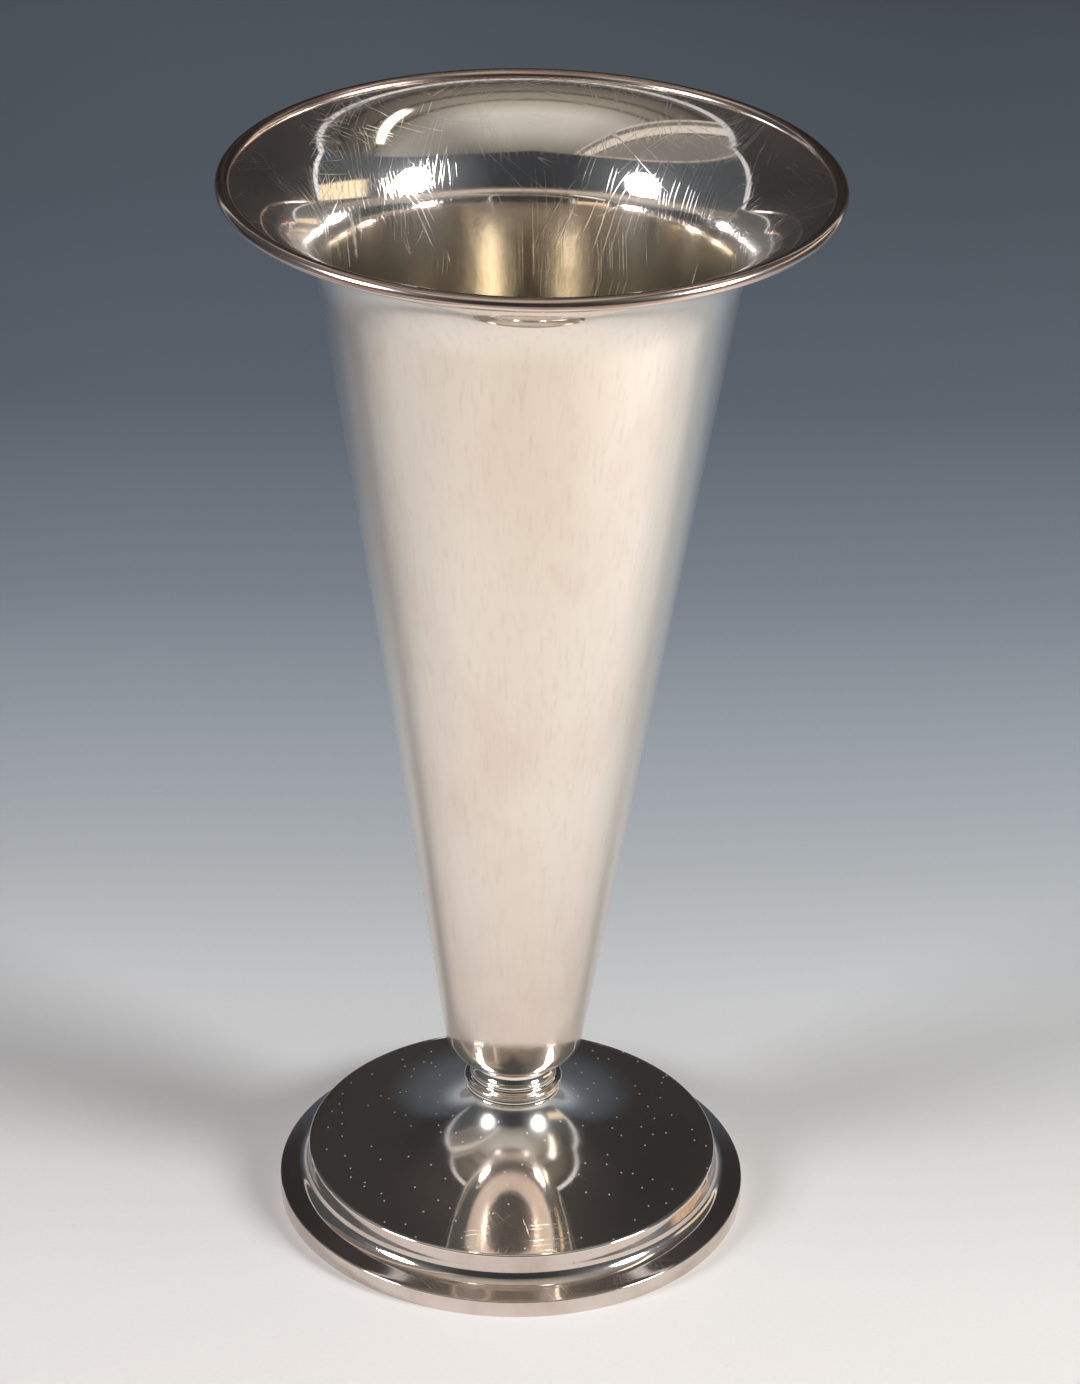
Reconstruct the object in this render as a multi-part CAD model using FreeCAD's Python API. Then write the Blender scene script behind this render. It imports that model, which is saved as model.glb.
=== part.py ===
import FreeCAD, Part
import math
import os

# Silver trumpet vase, a tall spun cone with a flared lip on a weighted foot.
# Millimetres, +Z up, origin at the centre of the face that it rests on.
# Every outline is half a section, in radius and height, turned about the Z axis.

# Overall sizes
vaseHeight = 245.0
mouthRadius = 64.4
footRadius = 52.5

# Trumpet body
bodySheet = 0.8
coneAngle = 8.8
lipAngle = 77.0
cupFlatRadius = 8.46
cupBendRadius = 7.04

# Rim wire
rimWireRadius = 1.5

# Neck spool
neckHeight = 4.6
spoolTopRadius = 8.4
spoolWaistRadius = 8.1
spoolFootRadius = 9.3
spoolFootBand = 0.6
spoolFootRound = 0.3
spoolTopBand = 0.3
waistHeightShare = 0.52

# Collar ring
collarHeight = 3.9
collarRadius = 10.95
collarBeadRadius = 0.45
lowerBeadInset = 0.2
collarGrooveDepth = 0.4
upperBeadDrop = 1.2
ledgeDip = 0.3
ledgeContactAngle = 120.0
grooveContactAngle = 60.0

# Foot shell. The flare is one smooth curve, whose two pulls are shares of its height and width.
footSheet = 0.8
stemRadius = 8.3
stemRise = 14.9
stemStraight = 1.0
stemAngle = 78.0
plateAngle = 2.0
stemPullShare = 0.33
platePullShare = 0.816
insetPullShare = 0.5
plateHeight = 11.5
plateEdgeBead = 0.35
beadStep = 0.1
flangeWidth = 6.5
coveRadius = 3.56
flangeAngle = 14.0
flangeEdgeHeight = 3.87

# Foot band
bandThickness = 1.2
bandRound = 0.35

# Tie stud, washer and nut
studRadius = 2.5
studClearance = 0.1
studHeadRadius = 5.5
studHeadThickness = 1.2
studTail = 3.0
washerRadius = 5.2
washerThickness = 1.0
nutAcrossFlats = 8.0
nutThickness = 4.0
nutSides = 6

# Filling, closing plate and pad
beddingGap = 0.1
padThickness = 1.6
basePlateThickness = 0.8
plateClearance = 0.1
padClearance = 0.2

# Directions in the section, in degrees
up = 90.0
down = -90.0
inward = 180.0


def at(radius, height):
    return FreeCAD.Vector(radius, 0, height)


def onArc(centre, radius, degrees):
    angle = math.radians(degrees)
    return centre + at(radius * math.cos(angle), radius * math.sin(angle))


def turned(start, *steps):
    # A step is a point for a straight run, a (through, end) pair for an arc, or a curve's
    # (first pull, second pull, end).
    edges = []
    here = start
    for step in steps:
        if isinstance(step, tuple):
            if len(step) == 2:
                edges.append(Part.Arc(here, step[0], step[1]).toShape())
            else:
                curve = Part.BezierCurve()
                curve.setPoles([here, *step])
                edges.append(curve.toShape())
            here = step[-1]
        else:
            edges.append(Part.LineSegment(here, step).toShape())
            here = step
    edges.append(Part.LineSegment(here, start).toShape())
    face = Part.Face(Part.Wire(edges))
    return face.revolve(at(0, 0), FreeCAD.Vector(0, 0, 1), 360)


def arcStep(centre, radius, first, last):
    return (onArc(centre, radius, (first + last) / 2), onArc(centre, radius, last))


def backwards(steps):
    # The same curve, run from its far end.
    start, (firstPull, secondPull, end) = steps
    return [end, (secondPull, firstPull, start)]


# Sizes and lines that several pieces share
stemTop = plateHeight + stemRise
collarTop = stemTop + collarHeight
neckTop = collarTop + neckHeight
wallRadius = footRadius - flangeWidth
plateRadius = wallRadius - beadStep - 2 * plateEdgeBead
coneSlope = math.radians(coneAngle)
wireCentre = at(mouthRadius - rimWireRadius, vaseHeight - rimWireRadius)
bandInner = footRadius - bandThickness
fillingFoot = padThickness + basePlateThickness
studHole = studRadius + studClearance


def makeTrumpetBody():
    # The cup's bend and the cone fix where the lip's arc has to start.
    cupCentre = at(cupFlatRadius, neckTop + cupBendRadius)
    coneFoot = onArc(cupCentre, cupBendRadius, -coneAngle)
    coneOffset = coneFoot.x * math.cos(coneSlope) - coneFoot.z * math.sin(coneSlope)
    wireOffset = wireCentre.x * math.cos(coneSlope) - wireCentre.z * math.sin(coneSlope)
    turn = math.cos(math.radians(lipAngle - coneAngle))
    flareRadius = (wireOffset - coneOffset + bodySheet / 2 * turn) / (1 - turn)
    flareCentre = onArc(wireCentre, flareRadius + bodySheet / 2, -lipAngle)
    outerStart = inward - coneAngle
    outerEnd = inward - lipAngle
    insideFloor = neckTop + bodySheet
    innerBend = cupBendRadius - bodySheet
    return turned(
        at(0, neckTop),
        at(cupFlatRadius, neckTop),
        arcStep(cupCentre, cupBendRadius, down, -coneAngle),
        onArc(flareCentre, flareRadius, outerStart),
        arcStep(flareCentre, flareRadius, outerStart, outerEnd),
        onArc(flareCentre, flareRadius + bodySheet, outerEnd),
        arcStep(flareCentre, flareRadius + bodySheet, outerEnd, outerStart),
        onArc(cupCentre, innerBend, -coneAngle),
        arcStep(cupCentre, innerBend, -coneAngle, down),
        at(0, insideFloor),
    )


def makeRimWire(trumpetBody):
    # A round wire with a slot that the edge of the lip sits in.
    section = Part.Circle(wireCentre, FreeCAD.Vector(0, 1, 0), rimWireRadius).toShape()
    ring = Part.Face(Part.Wire(section)).revolve(at(0, 0), FreeCAD.Vector(0, 0, 1), 360)
    return ring.cut(trumpetBody)


def makeNeckSpool():
    ringTop = collarTop + spoolFootBand
    waistStart = ringTop + spoolFootRound
    waistEnd = neckTop - spoolTopBand
    waistHeight = waistStart + (waistEnd - waistStart) * waistHeightShare
    roundCentre = at(spoolFootRadius - spoolFootRound, ringTop)
    headSeat = neckTop - studHeadThickness
    return turned(
        at(studHole, collarTop),
        at(spoolFootRadius, collarTop),
        at(spoolFootRadius, ringTop),
        arcStep(roundCentre, spoolFootRound, 0, up),
        (at(spoolWaistRadius, waistHeight), at(spoolTopRadius, waistEnd)),
        at(spoolTopRadius, neckTop),
        at(studHeadRadius + studClearance, neckTop),
        at(studHeadRadius + studClearance, headSeat),
        at(studHole, headSeat),
    )


def makeCollarRing():
    # Two beads with a hollow between them, and a dished ledge up to the neck.
    upperCentre = at(collarRadius - collarBeadRadius, collarTop - upperBeadDrop)
    lowerCentre = at(collarRadius - lowerBeadInset - collarBeadRadius, stemTop + collarBeadRadius)
    grooveMiddle = (upperCentre.z + lowerCentre.z) / 2
    grooveWall = collarRadius - collarGrooveDepth
    ledgeEnd = onArc(upperCentre, collarBeadRadius, ledgeContactAngle)
    ledgeMiddle = at((spoolFootRadius + ledgeEnd.x) / 2, (collarTop + ledgeEnd.z) / 2 - ledgeDip)
    lowerTop = onArc(lowerCentre, collarBeadRadius, grooveContactAngle)
    upperFoot = onArc(upperCentre, collarBeadRadius, -grooveContactAngle)
    return turned(
        at(studHole, stemTop),
        at(lowerCentre.x, stemTop),
        arcStep(lowerCentre, collarBeadRadius, down, grooveContactAngle),
        (at(grooveWall - (upperFoot.x - lowerTop.x), grooveMiddle), upperFoot),
        arcStep(upperCentre, collarBeadRadius, -grooveContactAngle, ledgeContactAngle),
        (ledgeMiddle, at(spoolFootRadius, collarTop)),
        at(studHole, collarTop),
    )


def flareSteps(inset):
    # From the stem's straight side down to the plate's edge, moved into the metal by the inset.
    outerStart = at(sideRadius(stemTop - stemStraight, 0), stemTop - stemStraight)
    outerEnd = at(plateRadius, plateHeight)
    origin = at(0, 0)
    start = outerStart + onArc(origin, inset, down - stemAngle)
    end = outerEnd + onArc(origin, inset, down - plateAngle)
    stemPull = (outerStart.z - outerEnd.z) * stemPullShare + inset * insetPullShare
    platePull = (outerEnd.x - outerStart.x) * platePullShare + inset * insetPullShare
    return [
        start,
        (onArc(start, stemPull, -stemAngle), onArc(end, platePull, inward - plateAngle), end),
    ]


def sideRadius(height, inset):
    # Radius of the stem's straight side at a height, moved into the metal.
    steep = math.radians(stemAngle)
    return stemRadius + (stemTop - height) / math.tan(steep) - inset / math.sin(steep)


def coveMiddle():
    # Centre of the hollow moulding, whose lower end runs on into the flange.
    slope = math.radians(flangeAngle)
    coveEnd = wallRadius + coveRadius * (1 - math.sin(slope))
    coveEndHeight = flangeEdgeHeight + (footRadius - coveEnd) * math.tan(slope)
    return at(wallRadius + coveRadius, coveEndHeight + coveRadius * math.cos(slope))


def makeFootShell():
    slope = math.radians(flangeAngle)
    coveTurn = down - flangeAngle
    coveCentre = coveMiddle()
    flangeTop = flangeEdgeHeight + bandThickness * math.tan(slope)
    flangeUnder = flangeTop - footSheet / math.cos(slope)
    beadCentre = at(plateRadius + plateEdgeBead, plateHeight)
    wallTop = at(wallRadius, plateHeight - plateEdgeBead)
    innerWall = wallRadius - footSheet
    innerCove = coveRadius + footSheet
    plateUnder = plateHeight - footSheet
    topUnder = stemTop - footSheet
    return turned(
        at(studHole, stemTop),
        at(stemRadius, stemTop),
        *flareSteps(0),
        (onArc(beadCentre, plateEdgeBead, up), onArc(beadCentre, plateEdgeBead, 0)),
        wallTop,
        at(wallRadius, coveCentre.z),
        arcStep(coveCentre, coveRadius, -inward, coveTurn),
        at(bandInner, flangeTop),
        at(bandInner, flangeUnder),
        onArc(coveCentre, innerCove, coveTurn),
        arcStep(coveCentre, innerCove, coveTurn, -inward),
        at(innerWall, plateUnder),
        *backwards(flareSteps(footSheet)),
        at(sideRadius(topUnder, footSheet), topUnder),
        at(studHole, topUnder),
    )


def makeFootBand():
    # The rounded top corner runs smoothly on from the flange's slope.
    slope = math.radians(flangeAngle)
    rise = bandThickness * math.tan(slope)
    lineHeight = flangeEdgeHeight + bandRound * math.tan(slope)
    roundCentre = at(footRadius - bandRound, lineHeight - bandRound / math.cos(slope))
    crown = onArc(roundCentre, bandRound, up - flangeAngle)
    return turned(
        at(bandInner, 0),
        at(footRadius, 0),
        at(footRadius, roundCentre.z),
        (onArc(roundCentre, bandRound, (up - flangeAngle) / 2), crown),
        at(bandInner, flangeEdgeHeight + rise),
    )


def disc(radius, low, high, hole=0):
    return turned(at(hole, low), at(radius, low), at(radius, high), at(hole, high))


def makeTieStud():
    headSeat = neckTop - studHeadThickness
    tail = stemTop - footSheet - washerThickness - nutThickness - studTail
    return turned(
        at(0, tail),
        at(studRadius, tail),
        at(studRadius, headSeat),
        at(studHeadRadius, headSeat),
        at(studHeadRadius, neckTop),
        at(0, neckTop),
    )


def makeStudWasher(hole):
    top = stemTop - footSheet
    return disc(washerRadius, top - washerThickness, top, hole)


def makeStudNut():
    top = stemTop - footSheet - washerThickness
    corner = nutAcrossFlats / 2 / math.cos(math.pi / nutSides)
    corners = []
    for index in range(nutSides + 1):
        angle = 2 * math.pi * index / nutSides
        corners.append(FreeCAD.Vector(corner * math.cos(angle), corner * math.sin(angle), top - nutThickness))
    hexagon = Part.Face(Part.makePolygon(corners))
    nut = hexagon.extrude(FreeCAD.Vector(0, 0, nutThickness))
    hole = Part.makeCylinder(studRadius, nutThickness, at(0, top - nutThickness))
    return nut.cut(hole)


def makeFootLoading(inside):
    # Poured filling, cut round the stud, the washer and the nut that it sets about.
    slope = math.radians(flangeAngle)
    inset = footSheet + beddingGap
    coveTurn = down - flangeAngle
    coveCentre = coveMiddle()
    rim = bandInner - beddingGap
    rimUnder = flangeEdgeHeight + (footRadius - rim) * math.tan(slope) - inset / math.cos(slope)
    topUnder = stemTop - inset
    filling = turned(
        at(0, fillingFoot),
        at(rim, fillingFoot),
        at(rim, rimUnder),
        onArc(coveCentre, coveRadius + inset, coveTurn),
        arcStep(coveCentre, coveRadius + inset, coveTurn, -inward),
        at(wallRadius - inset, plateHeight - inset),
        *backwards(flareSteps(inset)),
        at(sideRadius(topUnder, inset), topUnder),
        at(0, topUnder),
    )
    return filling.cut(inside)


def makeBasePlate():
    return disc(bandInner - plateClearance, padThickness, fillingFoot)


def makeBaizePad():
    return disc(bandInner - padClearance, 0, padThickness)


def build():
    os.makedirs("parts", exist_ok=True)
    trumpetBody = makeTrumpetBody()
    tieStud = makeTieStud()
    studNut = makeStudNut()
    pieces = {
        "trumpet_body": trumpetBody,
        "rim_wire": makeRimWire(trumpetBody),
        "neck_spool": makeNeckSpool(),
        "collar_ring": makeCollarRing(),
        "foot_shell": makeFootShell(),
        "foot_band": makeFootBand(),
        "tie_stud": tieStud,
        "stud_washer": makeStudWasher(studHole),
        "stud_nut": studNut,
        "foot_loading": makeFootLoading([tieStud, studNut, makeStudWasher(0)]),
        "base_plate": makeBasePlate(),
        "baize_pad": makeBaizePad(),
    }
    for name, shape in pieces.items():
        shape.exportStep("parts/" + name + ".step")
        box = shape.optimalBoundingBox()
        print(name, "solids", len(shape.Solids), "valid", shape.isValid(), "volume", round(shape.Volume, 1),
              "z", round(box.ZMin, 3), round(box.ZMax, 3), "r", round(box.XMax, 3))


build()
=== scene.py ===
import bpy
import math
from mathutils import Matrix, Vector, noise


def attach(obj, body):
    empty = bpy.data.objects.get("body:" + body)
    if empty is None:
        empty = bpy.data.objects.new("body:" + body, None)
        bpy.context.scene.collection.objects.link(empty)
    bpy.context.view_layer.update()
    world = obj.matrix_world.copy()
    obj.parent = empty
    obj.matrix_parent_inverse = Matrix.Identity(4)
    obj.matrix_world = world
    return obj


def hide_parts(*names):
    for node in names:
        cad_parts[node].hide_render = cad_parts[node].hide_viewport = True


# Silver trumpet vase. Sizes in the dictionaries are millimetres unless a note says otherwise.
# A span gives the two values of a pattern between which a mark fades in.

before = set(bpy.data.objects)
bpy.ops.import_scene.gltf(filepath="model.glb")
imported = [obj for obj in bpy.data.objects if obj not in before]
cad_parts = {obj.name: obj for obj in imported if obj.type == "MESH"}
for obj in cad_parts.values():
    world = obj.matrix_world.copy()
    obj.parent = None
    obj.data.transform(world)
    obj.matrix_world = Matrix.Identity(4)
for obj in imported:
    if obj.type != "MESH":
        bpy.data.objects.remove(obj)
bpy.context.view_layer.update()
print("frame loaded,", len(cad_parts), "nodes")

mm = 0.001
scene = bpy.context.scene


# Colours and nodes

def hexColour(code):
    # sRGB hex to the linear values that shaders use
    channels = []
    for start in (1, 3, 5):
        value = int(code[start:start + 2], 16) / 255
        channels.append(value / 12.92 if value <= 0.04045 else ((value + 0.055) / 1.055) ** 2.4)
    return (channels[0], channels[1], channels[2], 1.0)


def addNode(tree, kind, inputs, output=0, **settings):
    # adds a node, sets or links its inputs and gives back one of its outputs
    node = tree.nodes.new("ShaderNode" + kind)
    for key, value in settings.items():
        setattr(node, key, value)
    for key, value in inputs.items():
        if isinstance(value, bpy.types.NodeSocket):
            tree.links.new(value, node.inputs[key])
        else:
            node.inputs[key].default_value = value
    return node.outputs[output]


# settings that many nodes share
smooth = {"interpolation_type": "SMOOTHSTEP"}
colours = {"data_type": "RGBA", "output": 2}
times = {"operation": "MULTIPLY"}
largest = {"operation": "MAXIMUM"}


def newMaterial(name):
    material = bpy.data.materials.new(name)
    material.use_nodes = True
    tree = material.node_tree
    return material, tree, tree.nodes["Principled BSDF"]


def finishSurface(tree, shader, colour, rough, bump, metallic=1.0):
    # a number is set on the shader itself, a pattern is linked to it
    surface = {"Base Color": colour, "Roughness": rough, "Normal": bump, "Metallic": metallic}
    for name, value in surface.items():
        if isinstance(value, bpy.types.NodeSocket):
            tree.links.new(value, shader.inputs[name])
        elif value is not None:
            shader.inputs[name].default_value = value


def perMetre(sizeMm):
    # scale of a pattern whose features are about sizeMm apart
    return 1000 / sizeMm


def noiseNode(tree, place, sizeMm, detail, roughness=0.5, distortion=0.0):
    return addNode(tree, "TexNoise", {"Vector": place, "Scale": perMetre(sizeMm), "Detail": detail,
                                      "Roughness": roughness, "Distortion": distortion})


def bumpNode(tree, height, look):
    return addNode(tree, "Bump", {"Height": height, "Strength": look["reliefStrength"],
                                  "Distance": look["reliefMm"] * mm})


def over(span, first=0.0, last=1.0):
    # a range's inputs: the span that it reads, then what it gives at each end
    return {1: span[0], 2: span[1], 3: first, 4: last}


def metres(sizes):
    return [size * mm for size in sizes]


def sideShade(tree, across, fade, leftShade, rightShade):
    # 1 in the middle, then a fade to each side's shade
    near, far = fade
    left = addNode(tree, "MapRange", {0: across, **over((-near, -far), 1.0, leftShade)}, **smooth)
    right = addNode(tree, "MapRange", {0: across, **over((near, far), 1.0, rightShade)}, **smooth)
    return addNode(tree, "Math", {0: left, 1: right}, **times)


def dressNode(name, material):
    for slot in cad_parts[name].material_slots:
        slot.material = material


# Meshes turned about the vase's axis

turning = {
    "arcStep": 3.0,          # degrees between points
    "lineStep": 2.0,
    "sharpCorner": 18.0,     # degrees: a corner above this stays sharp
    "samePlace": 1e-4,
    "sameHeight": 1e-9,
}


def pointAt(centre, radius, degrees):
    angle = math.radians(degrees)
    return (centre[0] + radius * math.cos(angle), centre[1] + radius * math.sin(angle))


def arc(centre, radius, first, last, step=turning["arcStep"]):
    # points on a circle in the section plane, angles in degrees
    count = max(2, math.ceil(abs(last - first) / step) + 1)
    return [pointAt(centre, radius, first + (last - first) * index / (count - 1)) for index in range(count)]


def straight(start, end, step=turning["lineStep"]):
    # points between two ends, close enough that long walls shade evenly
    length = math.hypot(end[0] - start[0], end[1] - start[1])
    count = max(1, math.ceil(length / step))
    points = []
    for index in range(count + 1):
        share = index / count
        points.append((start[0] + (end[0] - start[0]) * share, start[1] + (end[1] - start[1]) * share))
    return points


def through(start, middle, end, count):
    # a circular arc through three points of the section
    (ax, az), (bx, bz), (cx, cz) = start, middle, end
    twice = 2 * (ax * (bz - cz) + bx * (cz - az) + cx * (az - bz))
    a2, b2, c2 = ax * ax + az * az, bx * bx + bz * bz, cx * cx + cz * cz
    ux = (a2 * (bz - cz) + b2 * (cz - az) + c2 * (az - bz)) / twice
    uz = (a2 * (cx - bx) + b2 * (ax - cx) + c2 * (bx - ax)) / twice
    radius = math.hypot(ax - ux, az - uz)
    first = math.degrees(math.atan2(az - uz, ax - ux))
    last = math.degrees(math.atan2(cz - uz, cx - ux))
    turn = (last - first + 180) % 360 - 180
    return arc((ux, uz), radius, first, first + turn, abs(turn) / count)


def lathe(name, outline, segments, materials, secondFrom=None):
    # The closed outline, as (radius, height), turned about the axis. From the point secondFrom on,
    # the faces take the second material.
    points = []
    zones = []
    for index, point in enumerate(outline):
        if points and math.dist(point, points[-1]) < turning["samePlace"]:
            continue
        points.append(point)
        zones.append(1 if secondFrom is not None and index >= secondFrom else 0)
    if math.dist(points[0], points[-1]) < turning["samePlace"]:
        points.pop()
        zones.pop()
    vertices = []
    rings = []
    for radius, height in points:
        if radius < turning["samePlace"]:
            rings.append([len(vertices)] * segments)
            vertices.append((0, 0, height * mm))
            continue
        rings.append(list(range(len(vertices), len(vertices) + segments)))
        for step in range(segments):
            angle = 2 * math.pi * step / segments
            vertices.append((radius * math.cos(angle) * mm, radius * math.sin(angle) * mm, height * mm))
    faces = []
    slots = []
    count = len(points)
    for index in range(count):
        lower, upper = rings[index], rings[(index + 1) % count]
        if lower[0] == lower[1] and upper[0] == upper[1]:
            continue
        for step in range(segments):
            after = (step + 1) % segments
            corners = [lower[step], lower[after], upper[after], upper[step]]
            faces.append(list(dict.fromkeys(corners)))
            slots.append(zones[index])
    mesh = bpy.data.meshes.new(name)
    mesh.from_pydata(vertices, [], faces)
    mesh.polygons.foreach_set("use_smooth", [True] * len(faces))
    mesh.polygons.foreach_set("material_index", slots)
    sharp = set()
    for index in range(count):
        before, here, after = points[index - 1], points[index], points[(index + 1) % count]
        arriving = math.atan2(here[1] - before[1], here[0] - before[0])
        leaving = math.atan2(after[1] - here[1], after[0] - here[0])
        turn = abs((leaving - arriving + math.pi) % (2 * math.pi) - math.pi)
        if math.degrees(turn) > turning["sharpCorner"] and rings[index][0] != rings[index][1]:
            sharp.update(rings[index])
    marks = []
    for edge in mesh.edges:
        one, other = edge.vertices
        level = abs(vertices[one][2] - vertices[other][2]) < turning["sameHeight"]
        marks.append(one in sharp and other in sharp and level)
    mesh.edges.foreach_set("use_edge_sharp", marks)
    mesh.validate()
    for material in materials:
        mesh.materials.append(material)
    piece = bpy.data.objects.new(name, mesh)
    scene.collection.objects.link(piece)
    return piece


def standFor(piece, node):
    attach(piece, "root")
    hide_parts(node)


# Camera: the photograph's view, its tilt and the slight lean of its picture

cameraView = {
    "distance": 855.1,
    "height": 580.8,
    "panDegrees": 0.27,
    "tiltDegrees": 27.975,
    "rollDegrees": 1.35,
    "focalPixels": 4499.0,
    "imageHeightPixels": 1384,
    "sensorMm": 36.0,
}


def makeCamera():
    view = cameraView
    pan, tilt, roll = (math.radians(view[key]) for key in ("panDegrees", "tiltDegrees", "rollDegrees"))
    ahead = Vector((math.sin(pan) * math.cos(tilt), math.cos(pan) * math.cos(tilt), -math.sin(tilt)))
    side = Vector((math.cos(pan), -math.sin(pan), 0))
    up = side.cross(ahead)
    turnedSide = math.cos(roll) * side + math.sin(roll) * up
    turnedUp = -math.sin(roll) * side + math.cos(roll) * up
    data = bpy.data.cameras.new("photoView")
    data.sensor_width = view["sensorMm"]
    data.lens = view["sensorMm"] * view["focalPixels"] / view["imageHeightPixels"]
    camera = bpy.data.objects.new("photoView", data)
    scene.collection.objects.link(camera)
    place = Vector((0, -view["distance"], view["height"])) * mm
    columns = (turnedSide, turnedUp, -ahead)
    rows = [[column[row] for column in columns] + [place[row]] for row in range(3)]
    camera.matrix_world = Matrix(rows + [[0, 0, 0, 1]])
    scene.camera = camera


makeCamera()
print("camera placed")


# Sterling silver, spun from sheet and polished. It mirrors its surroundings with a warm tint of age.
# Wiping has left fine streaks and hairlines, which blur what it mirrors and catch the lamps.

silverLook = {
    "bright": "#f8efe4",
    "stained": "#ecdccf",
    "stainMm": 24.0,
    "stainTall": 0.4,        # stretches the stains up the sides
    "stainSpan": (0.4, 0.75),
    "stainAmount": 0.8,
    "roughness": 0.04,
    "clothMm": 0.6,          # marks of the polishing cloth, which make the gloss uneven
    "clothSpan": (0.35, 0.75),
    "clothRoughness": 1.8,   # times the roughness
    "streaked": "#cdbdb0",
    "streakMm": 1.0,         # wiping streaks, coarser than the cloth's threads so that they show
    "streakLong": 60.0,
    "streakSpan": (0.48, 0.75),
    "streakAmount": 0.0,
    "streakRoughness": 0.12,
    "hairMm": 2.4,           # hairlines, drawn about 0.1 mm wide so that they show
    "hairWidth": 0.014,      # in the pattern's own values
    "hairLong": 40.0,
    "hairFlat": 1000.0,      # keeps a line from changing with height
    "hairTurns": (0.25, 0.7, 1.3, 1.75, 2.4, 2.9),
    "hairShift": (0.37, 0.11),
    "hairPatchMm": 16.0,
    "hairPatchSpan": (0.62, 0.68),
    "hairPatchGrowth": 0.15,
    "hairShare": 0.5,
    "hairDepth": 0.1,
    "hairRoughness": 0.16,
    "buffWaveMm": 16.0,      # the buffing wheel's long, shallow waves
    "buffWaveDepth": 0.6,
    "reliefStrength": 0.35,
    "reliefMm": 0.06,
    "haze": 1.0,             # fine wear that spreads a soft glow round the highlights
    "hazeRoughness": 0.42,
    "dust": "#d8d5cf",
    "dustMm": 5.0,
    "dustSpan": (0.018, 0.045),
    "dustAmount": 0.0,
    "dustRoughness": 0.7,
    "tarnish": None,
}

# Tarnish, a little clouded; on the cone's lower part the same darkening is painted shade. Its reach is the
# height or radius where it starts and where it is full.
tarnishCloud = {
    "sizeMm": 9.0,
    "span": (0.3, 0.7),
    "least": 0.7,
}


def hairlines(tree, place, look):
    # families of fine straight scratches, each along a direction of its own
    lines = 0.0
    low, high = look["hairPatchSpan"]
    patchSpan = (low - look["hairPatchGrowth"] * look["hairShare"], high)
    for index, turn in enumerate(look["hairTurns"]):
        shift = (index * look["hairShift"][0], look["hairShift"][1], 0.0)
        spot = addNode(tree, "Mapping", {"Vector": place, "Rotation": (0.0, 0.0, turn), "Location": shift,
                                         "Scale": (1.0, look["hairLong"], look["hairFlat"])},
                       vector_type="TEXTURE")
        field = noiseNode(tree, spot, look["hairMm"], detail=0.0)
        away = addNode(tree, "Math", {0: field, 1: 0.5}, operation="SUBTRACT")
        away = addNode(tree, "Math", {0: away}, operation="ABSOLUTE")
        line = addNode(tree, "MapRange", {0: away, **over((0.0, look["hairWidth"]), 1.0, 0.0)}, **smooth)
        patch = addNode(tree, "VectorMath", {0: place, 1: shift})
        patch = noiseNode(tree, patch, look["hairPatchMm"], detail=2.0)
        patch = addNode(tree, "MapRange", {0: patch, **over(patchSpan)}, **smooth)
        line = addNode(tree, "Math", {0: line, 1: patch}, **times)
        lines = addNode(tree, "Math", {0: lines, 1: line}, **largest)
    return lines


def tarnished(tree, place, tarnish, colour, rough):
    # the silver's colour and roughness with its tarnish, which on the cone is painted shade
    if tarnish["along"] == "radius":
        flat = addNode(tree, "VectorMath", {0: place, 1: (1.0, 1.0, 0.0)}, **times)
        where = addNode(tree, "VectorMath", {0: flat}, output=1, operation="LENGTH")
    else:
        where = addNode(tree, "SeparateXYZ", {0: place}, output=2)
    amount = addNode(tree, "MapRange", {0: where, **over(metres(tarnish["reach"]))}, **smooth)
    cloud = noiseNode(tree, place, tarnishCloud["sizeMm"], detail=4.0)
    cloud = addNode(tree, "MapRange", {0: cloud, **over(tarnishCloud["span"], tarnishCloud["least"])})
    amount = addNode(tree, "Math", {0: amount, 1: cloud}, **times)
    mixed = addNode(tree, "Math", {0: amount, 1: tarnish["share"]}, **times)
    colour = addNode(tree, "Mix", {0: mixed, 6: colour, 7: hexColour(tarnish["colour"])}, **colours)
    duller = addNode(tree, "Math", {0: amount, 1: tarnish["roughness"]}, **times)
    return colour, addNode(tree, "Math", {0: rough, 1: duller})


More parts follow.
